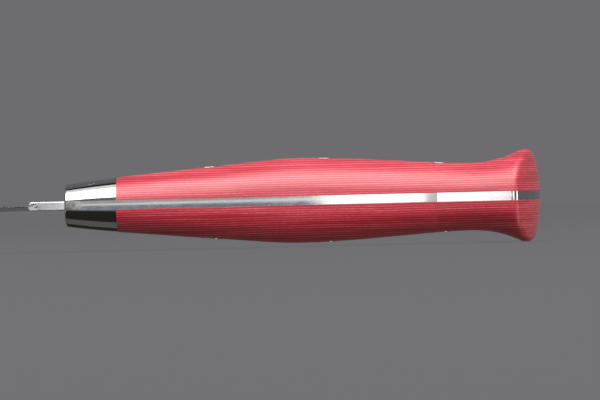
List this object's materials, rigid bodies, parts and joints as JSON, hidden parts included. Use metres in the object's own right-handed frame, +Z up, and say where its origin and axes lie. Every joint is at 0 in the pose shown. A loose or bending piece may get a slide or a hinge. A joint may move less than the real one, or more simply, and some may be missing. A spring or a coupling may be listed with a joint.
{
  "type": "grafting knife",
  "caption": "Fixed-blade, full-tang grafting knife with a short straight-edged blade, steel bolsters and a flared handle of red linen laminate",
  "frame": {"origin": "middle of the whole knife's box, at its lowest point: the knife lies on its right side", "axes": "+X from the tip to the butt, -Y to the cutting edge and belly, +Y to the spine, +Z up out of the left side of the handle"},
  "size_m": [0.178, 0.0256, 0.023],
  "materials": {
    "blade_steel": "satin",
    "bolster_steel": "mirror polish",
    "bolt_steel": "polished",
    "red_linen_laminate": "buffed linen and phenolic laminate"
  },
  "bodies": {
    "root": {"blade": "blade_steel", "left_bolster": "bolster_steel", "right_bolster": "bolster_steel", "left_scale": "red_linen_laminate", "right_scale": "red_linen_laminate", "upper_bolster_pin": "bolster_steel", "lower_bolster_pin": "bolster_steel", "front_bolt_sleeve": "bolt_steel", "front_bolt_screw": "bolt_steel", "middle_bolt_sleeve": "bolt_steel", "middle_bolt_screw": "bolt_steel", "rear_bolt_sleeve": "bolt_steel", "rear_bolt_screw": "bolt_steel"}
  },
  "joints": []
}
